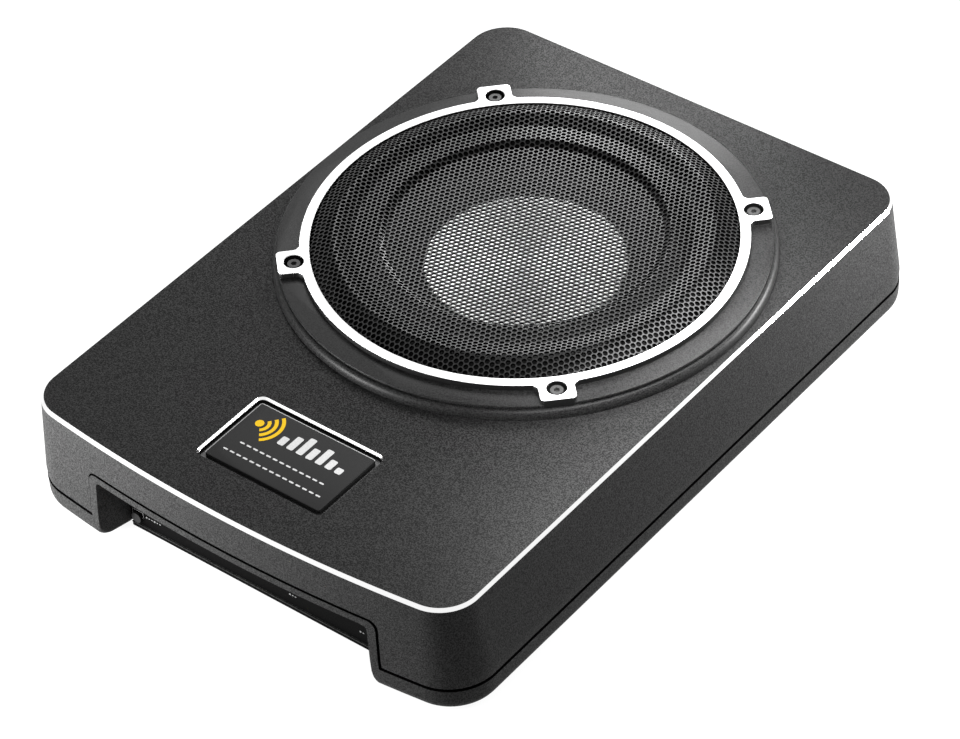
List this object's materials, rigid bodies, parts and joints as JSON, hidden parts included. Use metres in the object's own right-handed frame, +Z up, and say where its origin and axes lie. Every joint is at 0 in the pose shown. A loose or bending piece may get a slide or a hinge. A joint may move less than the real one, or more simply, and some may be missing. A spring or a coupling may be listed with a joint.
{
  "type": "powered car subwoofer",
  "caption": "Flat powered car subwoofer: two-piece cast case, round woofer under a domed perforated grille with a bright ring, and a connector recess in one end.",
  "frame": {"origin": "middle of the rest plane under the rubber feet", "axes": "+Z up through the grille, -Y out of the end with the connector recess, +X to the right seen from that end"},
  "size_m": [0.251, 0.3584, 0.075],
  "materials": {
    "bare_metal": "mill finish",
    "black_plastic": "moulded",
    "brass": "turned",
    "cap_metal": "spun brushed",
    "capacitor_sleeve": "shrink sleeve",
    "case_paint": "fine matt powder coat, slightly textured",
    "circuit_board": "solder mask",
    "cone_metal": "anodised grey",
    "contact_metal": "plated",
    "copper": "enamelled copper wire",
    "ferrite": "sintered matt",
    "former": "polyimide",
    "fuse_plastic": "translucent",
    "grille_paint": "satin black",
    "led_lens": "clear tinted",
    "magnet_steel": "dark passivated",
    "nameplate": "anodised dark grey, fine brushed",
    "pot_body": "moulded",
    "rubber": "matt",
    "screw_black": "black oxide",
    "screw_steel": "zinc plated",
    "spider_cloth": "phenolic-dipped cloth",
    "white_plastic": "moulded",
    "wire_red": "insulated"
  },
  "bodies": {
    "enclosure": {"top_shell": "case_paint", "bottom_shell": "case_paint", "seam_gasket": "rubber", "nameplate": "nameplate", "grille_frame": "grille_paint", "grille_mesh": "grille_paint", "grille_screws": "screw_steel", "basket": "grille_paint", "basket_gasket": "rubber", "basket_screws": "screw_black", "surround": "rubber", "spider": "spider_cloth", "top_plate": "magnet_steel", "magnet": "ferrite", "yoke": "magnet_steel", "speaker_terminals": "contact_metal", "tinsel_leads": "copper", "speaker_wires": "wire_red", "amp_board": "circuit_board", "board_standoffs": "bare_metal", "board_screws": "screw_steel", "heat_bar": "bare_metal", "power_transistors": "black_plastic", "capacitors": "capacitor_sleeve", "transformer": "copper", "inductor": "copper", "control_chips": "black_plastic", "connector_panel": "black_plastic", "panel_screws": "screw_steel", "power_block": "black_plastic", "power_block_screws": "screw_steel", "fuse_holder": "black_plastic", "fuses": "fuse_plastic", "high_level_socket": "white_plastic", "socket_pins": "contact_metal", "rca_block": "black_plastic", "rca_barrels": "contact_metal", "remote_jack": "black_plastic", "status_led": "led_lens", "pots": "pot_body", "switch_cases": "bare_metal", "case_screws": "screw_black", "rubber_feet": "rubber", "bracket_inserts": "brass"},
    "cone_assembly": {"cone": "cone_metal", "dust_cap": "cap_metal", "coil_former": "former", "coil_winding": "copper"},
    "gain_control": {"gain_shaft": "bare_metal", "gain_knob": "black_plastic"},
    "crossover_control": {"crossover_shaft": "bare_metal", "crossover_knob": "black_plastic"},
    "bass_control": {"bass_shaft": "bare_metal", "bass_knob": "black_plastic"},
    "phase_switch": {"phase_slider": "white_plastic"},
    "mode_switch": {"mode_slider": "white_plastic"}
  },
  "joints": [
    {"name": "cone_travel", "type": "slide", "parent": "enclosure", "child": "cone_assembly", "axis": [0, 0, 1], "range_m": [-0.0055, 0.0055], "stiffness_N_per_m": 2600, "deforming": ["surround", "spider", "tinsel_leads"]},
    {"name": "gain_turn", "type": "hinge", "parent": "enclosure", "child": "gain_control", "pos_m": [0.028, -0.1612, 0.0302], "axis": [0, -1, 0], "range_deg": [-140, 140]},
    {"name": "crossover_turn", "type": "hinge", "parent": "enclosure", "child": "crossover_control", "pos_m": [0.0415, -0.1612, 0.0302], "axis": [0, -1, 0], "range_deg": [-140, 140]},
    {"name": "bass_turn", "type": "hinge", "parent": "enclosure", "child": "bass_control", "pos_m": [0.055, -0.1612, 0.0302], "axis": [0, -1, 0], "range_deg": [-140, 140]},
    {"name": "phase_slide", "type": "slide", "parent": "enclosure", "child": "phase_switch", "axis": [1, 0, 0], "range_m": [0, 0.0036]},
    {"name": "mode_slide", "type": "slide", "parent": "enclosure", "child": "mode_switch", "axis": [1, 0, 0], "range_m": [0, 0.0036]}
  ]
}
